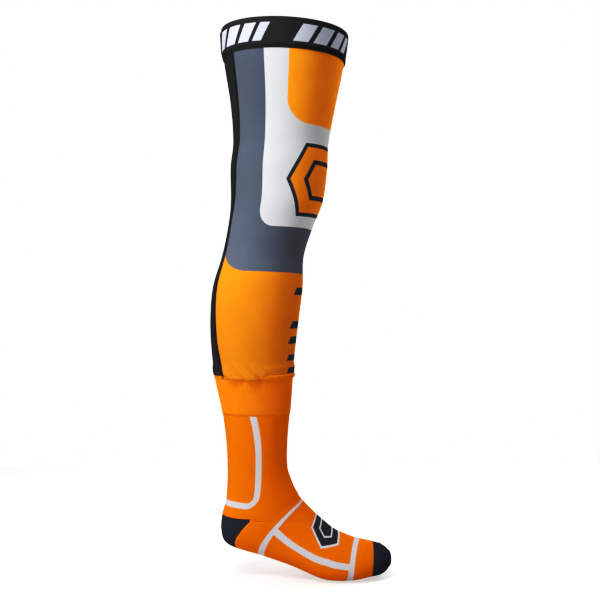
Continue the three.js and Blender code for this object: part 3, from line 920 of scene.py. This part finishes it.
def add_grips(materials):
    """Waves of silicone printed inside the waistband."""
    for name, level in GRIP_LEVELS:
        angle = ring_angles(360)
        wave = np.sin(np.radians(angle) * 45) * 0.0015
        s = rows_between(level - GRIP_HALF_HEIGHT + wave, level + GRIP_HALF_HEIGHT + wave, 0.0006)
        across = (s - s[0]) / (s[-1] - s[0])
        inside = -BAND_WALL + BAND_LIFT
        depth = 0.0002 + 0.0009 * np.sin(np.pi * across)
        grip = cloth(name, s, angle, inside, depth, materials["silicone"], BAND_HALF, closed=True)
        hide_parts(name)
        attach(grip, "thigh")


# ---- The sleeve ----------------------------------------------------------------------------------


def gathers(s, angle):
    """Height of the sleeve over its last stretch, where it is gathered into the hem.

    The cloth puffs out and creases on the two sides. At the back and in front it only clears the hem.
    """
    near_hem = np.clip(1 - (sleeve_bottom(angle) - s) / GATHER_HEIGHT, 0, 1)
    folded = from_back_of(angle)
    side = np.clip((folded - 40) / 14, 0, 1) * np.clip((120 - folded) / 26, 0, 1)
    round_leg = share_round(s, angle) * half_girth(s)
    lean = round_leg + (SLEEVE_END - s) * 0.9
    folds = np.abs(np.sin(lean / BROAD_FOLD + 0.9)) - 0.7
    folds += np.abs(np.sin(lean / FINE_FOLD + round_leg * 30)) * 0.45 - 0.2
    over_hem = HEM_LIFT * np.clip(near_hem * 4 - 1.5, 0, 1)
    tucked = 1 - 0.35 * np.clip(near_hem * 5 - 4, 0, 1) ** 2
    gathered = (PUFF * near_hem**1.4 * tucked + FOLD_DEPTH * folds * near_hem) * side
    return np.maximum(over_hem, gathered)


def from_back_of(angle):
    """The angle from the back of the leg, on either side, between 0 and 180."""
    return np.abs((angle + 180) % 360 - 180)


def sleeve_bottom(angle):
    """The panels cover the hem at the sides, and stop above it at the back and in front."""
    folded = from_back_of(angle)
    front = np.clip((folded - 103) / 9, 0, 1) * (HEM_HEIGHT - 0.0022)
    back = np.clip((72 - folded) / 30, 0, 1) * 0.005
    return SLEEVE_END - np.maximum(front, back)


def sleeve_grid(left, right, columns):
    """Places on a panel whose two edges are given by functions of the level."""
    share = np.linspace(0, 1, columns)[None, :]
    at_hem = mix(left(SLEEVE_END), right(SLEEVE_END), share)[0]
    s = rows_between(BAND_HEIGHT - 0.001, sleeve_bottom(at_hem), 0.0022)
    return s, mix(left(s), right(s), share)


def add_front_panel(materials):
    """The printed panel, from one side seam round the front to the other."""
    s, angle = sleeve_grid(back_reach, lambda level: 360 - back_reach(level), 210)
    panel = cloth("front_panel", s, angle, gathers(s, angle), PANEL_WALL, materials["print"], PRINT_HALF)
    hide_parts("front_panel_thigh", "front_panel_knee", "front_panel_shin")
    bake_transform(panel)


def add_back_panel(materials):
    """The black panel down the back of the leg."""
    s, angle = sleeve_grid(lambda level: -back_reach(level), back_reach, 44)
    black = materials["black_stretch"]
    panel = cloth("back_panel", s, angle, gathers(s, angle), PANEL_WALL, black, PRINT_HALF)
    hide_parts("back_panel_thigh", "back_panel_knee", "back_panel_calf")
    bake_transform(panel)


def add_side_seams(materials):
    """A flatlock seam down each side: crossing threads, laid on the black panel's edge."""
    for name, side in (("outer", 1), ("inner", -1)):
        level = np.arange(BAND_HEIGHT + 0.002, SLEEVE_END - 0.001, 0.00055)
        zigzag = np.resize([0, 0.5, 1, 0.5], len(level)) * SEAM_WIDTH
        angle = side * (back_reach(level) - angle_of(zigzag, level))
        lift = gathers(level, angle) + 0.00022
        seam = tube(f"{name}_seam", leg_points(level, angle, lift), 0.00026, materials["black_thread"], 5)
        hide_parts(*(f"{name}_seam_{place}" for place in ("thigh", "knee", "calf")))
        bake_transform(seam)


def add_hem(materials):
    """The rolled, elasticated lower edge of the sleeve, fuller in front where it shows."""
    angle = ring_angles(360)
    front = np.clip((from_back_of(angle) - 90) / 25, 0, 1)
    ruffle = 0.0004 * np.sin(np.radians(angle) * 47) + 0.0003 * np.sin(np.radians(angle) * 29 + 1)
    s = rows_between(SLEEVE_END - HEM_HEIGHT + 0.0016, SLEEVE_END + ruffle, 0.0009)
    across = (s - s[0]) / (s[-1] - s[0])
    lift = 0.0006 + (0.0004 + 0.0020 * front) * np.sin(np.pi * across) ** 0.6
    hem = cloth("sleeve_hem", s, angle, lift, 0.0006, materials["hem"], PRINT_HALF, closed=True)
    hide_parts("sleeve_hem")
    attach(hem, "shank")


def add_join_seam(materials):
    """Overlock thread inside, where the sleeve is sewn to the cuff."""
    columns = 520
    angle = np.linspace(-180, 180, columns, endpoint=False)
    zigzag = np.resize([-1, 0, 1, 0], columns) * 0.0022
    path = leg_points(SLEEVE_END - 0.0028 + zigzag, angle, -KNIT_WALL - 0.0004)
    thread = tube("calf_join_seam", path, 0.0003, materials["orange_thread"], 6)
    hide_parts("calf_join_seam")
    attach(thread, "shank")


# ---- The knitted sock ----------------------------------------------------------------------------

RIB_COUNT = 116


def add_cuff(materials):
    """Ribbed cuff: each rib is a raised wale with a furrow beside it."""
    angle = ring_angles(RIB_COUNT * 6)
    s = rows_between(SLEEVE_END - HEM_HEIGHT, CUFF_END, 0.0045)
    ribs = np.abs(np.cos(np.radians(angle) * RIB_COUNT / 2)) ** 0.7
    below = np.clip((CUFF_END - s) / 0.002, 0, 1) ** 0.5
    lift = 0.0001 + 0.0005 * ribs[None, :] * below
    cuff = cloth("rib_cuff", s, angle, lift, KNIT_WALL, materials["cuff"], KNIT_HALF, closed=True)
    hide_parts("rib_cuff")
    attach(cuff, "shank")


def add_leg_knit(materials):
    """The knit from the cuff down to the heel pocket and the ankle."""
    angle = ring_angles(160)
    s = rows_between(CUFF_END - 0.001, foot_split(angle), 0.0022)
    knit = cloth("leg_knit", s, angle, 0.0, KNIT_WALL, materials["knit"], KNIT_HALF, closed=True)
    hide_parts("leg_knit", "ankle_knit")
    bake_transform(knit)


def add_heel_pocket(materials):
    """The wedge of knit that holds the heel."""
    angle = np.linspace(-HEEL_HALF_ANGLE, HEEL_HALF_ANGLE, 80)
    s = rows_between(heel_line(angle), pocket_end(angle), 0.0018)
    pocket = cloth("heel_pocket", s, angle, 0.0, KNIT_WALL, materials["navy"], KNIT_HALF)
    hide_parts("heel_pocket")
    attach(pocket, "foot")


def add_foot_knit(materials):
    """The knit from the ankle to the toe cap."""
    angle = ring_angles(160)
    start = np.where(np.abs(angle) > HEEL_HALF_ANGLE, foot_split(angle), pocket_end(angle))
    s = rows_between(start, CAP_START, 0.0022)
    knit = cloth("foot_knit", s, angle, 0.0, KNIT_WALL, materials["knit"], KNIT_HALF, closed=True)
    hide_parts("foot_knit", "ball_knit", "toe_knit")
    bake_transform(knit)


def domed(rows):
    """Draws the last ring of a tube in over the tip of the toes."""
    ring = rows[-1]
    centre = ring.mean(0)
    drawn = [
        centre + (ring - centre) * math.cos(turn) + np.array([TOE_TIP_BULGE * math.sin(turn), 0, 0])
        for turn in np.linspace(0, np.pi / 2, 8)[1:-1]
    ]
    return np.concatenate([rows, drawn])


def add_toe_cap(materials):
    """The toe pocket: a tube drawn in over the toes, with its last small ring closed."""
    step = 0.0016
    angle = ring_angles(120)
    s = rows_between(CAP_START, TIP, step)
    outer = domed(leg_points(s, angle, 0.0))
    inner = domed(leg_points(s, angle, -KNIT_WALL))
    rows, columns = outer.shape[:2]
    count = rows * columns
    face = grid_faces(rows, columns, True)
    rim = rim_faces(rows, columns, True, count)[:columns]
    tip = np.arange(columns) + (rows - 1) * columns
    faces = [*face, *(face[:, ::-1] + count), tip, tip[::-1] + count, *rim]
    cap = new_object("toe_cap", np.concatenate([outer, inner]).reshape(-1, 3), faces)
    level = np.concatenate([s[:, 0], TIP + np.arange(1, rows - len(s) + 1) * step])
    share = share_round(np.full(columns, CAP_START), angle) * KNIT_HALF
    set_map(cap, np.tile(share, rows * 2), np.tile(np.repeat(level, columns), 2))
    cap.data.materials.append(materials["navy"])
    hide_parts("toe_cap")
    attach(cap, "toes")


def add_toe_seam(materials):
    """The linked seam that closes the toe pocket, across the top of the toes."""
    angle = np.linspace(100, 260, 260)
    level = mix(CAP_START, TIP, 0.32 + 0.16 * np.cos(np.radians(angle - 180)))
    links = 0.0008 + 0.0002 * np.sin(np.arange(len(angle)) * 1.1)
    seam = tube("toe_seam", leg_points(level, angle, 0.0002), links, materials["navy"], 8)
    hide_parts("toe_seam")
    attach(seam, "toes")


def add_lining(name, angle, start, end, body, material):
    """Terry loops inside the knit, between two levels."""
    s = rows_between(start, end, 0.002)
    loops = 0.0002 * np.sin(s / 0.0007) * np.sin(angle * 2.1)
    lining = cloth(name, s, angle, -KNIT_WALL - 0.0003, TERRY_WALL + loops, material, KNIT_HALF)
    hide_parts(name)
    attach(lining, body)


def add_cushions(materials):
    """Cushions under the heel, the sole and the toes."""
    terry = materials["terry"]
    heel = np.linspace(-46, 46, 60)
    heel_top = heel_line(heel) + CUSHION_INSET
    heel_end = pocket_end(heel) - CUSHION_INSET
    add_lining("heel_cushion", heel, heel_top, heel_end, "foot", terry)
    sole = np.linspace(-58, 58, 60)
    sole_start = pocket_end(sole) + CUSHION_INSET
    add_lining("sole_cushion", sole, sole_start, BALL - TOE_REACH, "foot", terry)
    add_lining("toe_cushion", sole, BALL + TOE_REACH, CAP_START - CUSHION_INSET, "toes", terry)


# ---- Camera, floor and light ---------------------------------------------------------------------


def add_camera():
    """Straight from the outer side, level with the middle of the sock."""
    middle = (CAD_BOX[0] + CAD_BOX[1]) / 2
    data = bpy.data.cameras.new("camera")
    data.lens = CAMERA_LENS
    camera = bpy.data.objects.new("camera", data)
    camera.location = (middle.x - CAMERA_BEHIND, -CAMERA_DISTANCE, middle.z + CAMERA_ABOVE)
    camera.rotation_euler = (math.radians(90), 0, 0)
    bpy.context.scene.collection.objects.link(camera)
    bpy.context.scene.camera = camera


def add_area_light(name, place, aim, size, power):
    data = bpy.data.lights.new(name, "AREA")
    data.shape = "RECTANGLE"
    data.size, data.size_y = size
    data.energy = power
    light = bpy.data.objects.new(name, data)
    light.location = place
    light.rotation_euler = (Vector(aim) - Vector(place)).to_track_quat("-Z", "Y").to_euler()
    bpy.context.scene.collection.objects.link(light)


def add_studio():
    middle = (CAD_BOX[0] + CAD_BOX[1]) / 2
    x, z = middle.x, middle.z
    for name, place, aim, size, power in LAMPS:
        from_place = (x + place[0], place[1], z + place[2])
        add_area_light(name, from_place, (x + aim[0], aim[1], z + aim[2]), size, power)
    corners = [(FLOOR_HALF * a, FLOOR_HALF * b, FLOOR) for a, b in ((-1, -1), (1, -1), (1, 1), (-1, 1))]
    floor = new_object("floor", corners, [(0, 1, 2, 3)])
    floor.data.materials.append(floor_material())
    add_world()


def add_world():
    """A white surround, which lights the object less than it shows."""
    world = bpy.data.worlds.new("surround")
    world.use_nodes = True
    background = world.node_tree.nodes["Background"]
    background.inputs["Color"].default_value = (1, 1, 1, 1)
    seen_only(world.node_tree, 1.0, AMBIENT, background.inputs["Strength"])
    bpy.context.scene.world = world


def set_tone():
    """The contrast of a studio photograph: a plain display, with the deepest tones drawn down."""
    view = bpy.context.scene.view_settings
    view.view_transform = "Standard"
    view.use_curve_mapping = True
    curve = view.curve_mapping.curves[3]
    for point in TONE_POINTS:
        curve.points.new(*point)
    view.curve_mapping.update()


add_camera()
set_tone()
MATERIALS = {
    "woven": woven_material(),
    "band_end": plain_knit("band_end", BLACK),
    "black_thread": thread_material("black_thread", THREAD_BLACK),
    "orange_thread": thread_material("orange_thread", THREAD_ORANGE),
    "silicone": silicone_material(),
    "print": printed_material(),
    "black_stretch": black_stretch_material(),
    "hem": plain_knit("hem_jersey", HEM_ORANGE),
    "cuff": plain_knit("cuff_knit", CUFF_ORANGE),
    "knit": knit_material(),
    "navy": plain_knit("navy_knit", NAVY),
    "terry": terry_material(),
}
for add_piece in (
    add_waistband, add_band_lap, add_waist_stitching, add_grips,
    add_front_panel, add_back_panel, add_side_seams, add_hem, add_join_seam,
    add_cuff, add_leg_knit, add_heel_pocket, add_foot_knit, add_toe_cap, add_toe_seam, add_cushions,
):
    add_piece(MATERIALS)
add_studio()
